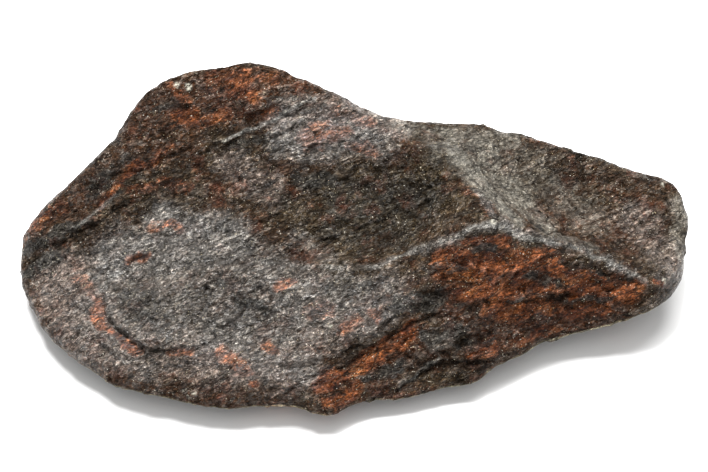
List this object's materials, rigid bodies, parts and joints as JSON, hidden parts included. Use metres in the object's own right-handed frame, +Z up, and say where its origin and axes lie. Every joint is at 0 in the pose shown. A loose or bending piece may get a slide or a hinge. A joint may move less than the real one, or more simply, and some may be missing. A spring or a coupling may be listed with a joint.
{
  "type": "iron meteorite",
  "caption": "Oblong weathered iron meteorite with a thin front shelf, a high back ridge, a thumbprint bowl, a peak and a long trough; a display specimen that rests on a small flat spot.",
  "frame": {"origin": "the middle of the stone's outline seen from above, on the surface that it rests on", "axes": "+X along the length, towards the narrow end; +Y from the thin front shelf to the high back ridge; +Z up"},
  "size_m": [0.073, 0.0382, 0.0184],
  "materials": {
    "weathered_iron": "dark rusted crust with a fine metallic sparkle"
  },
  "bodies": {
    "root": {"meteorite": "weathered_iron"}
  },
  "joints": []
}
